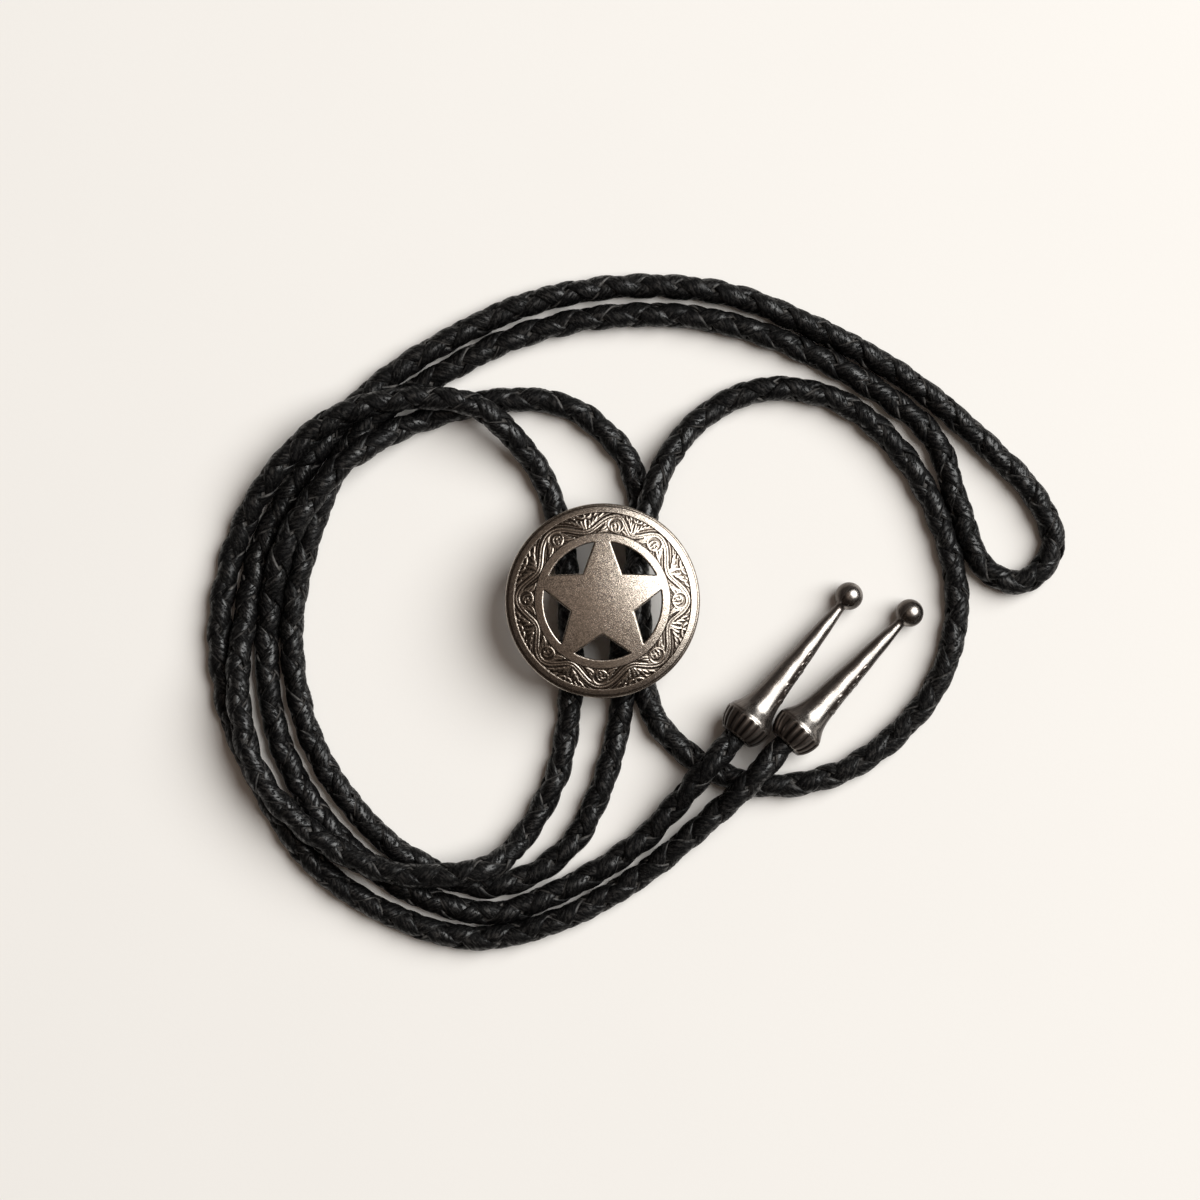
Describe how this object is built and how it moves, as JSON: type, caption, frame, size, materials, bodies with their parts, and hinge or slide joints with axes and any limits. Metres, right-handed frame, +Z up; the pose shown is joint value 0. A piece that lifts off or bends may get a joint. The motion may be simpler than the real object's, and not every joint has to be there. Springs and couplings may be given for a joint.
{
  "type": "bolo tie",
  "caption": "Bolo tie laid flat: braided leather cord in loose loops, pierced star concho on a slide clip, and fluted metal tips with ball ends.",
  "frame": {"origin": "on the surface that the tie lies on, under the middle of the concho", "axes": "+Z up out of the concho's face; +Y towards the star's upper point; +X to the right as the tie is seen"},
  "size_m": [0.1682, 0.1325, 0.0137],
  "materials": {
    "antique_silver": "antique silver cast metal, satin, dark in the recesses",
    "steel": "plain bent plate",
    "gunmetal": "dark antique silver, polished, dark between the ribs",
    "black_leather": "four flat black laces in a round braid, waxed"
  },
  "bodies": {
    "root": {"concho": "antique_silver", "slide_clip": "steel", "tip_right": "gunmetal", "tip_left": "gunmetal", "cord_tail_right": "black_leather", "cord_strand_a": "black_leather", "cord_pass_one": "black_leather", "cord_strand_b": "black_leather", "cord_neck_out": "black_leather", "cord_neck_back": "black_leather", "cord_strand_d": "black_leather", "cord_pass_two": "black_leather", "cord_side_loop": "black_leather", "cord_pass_three": "black_leather", "cord_strand_c": "black_leather", "cord_tail_left": "black_leather"}
  },
  "joints": []
}
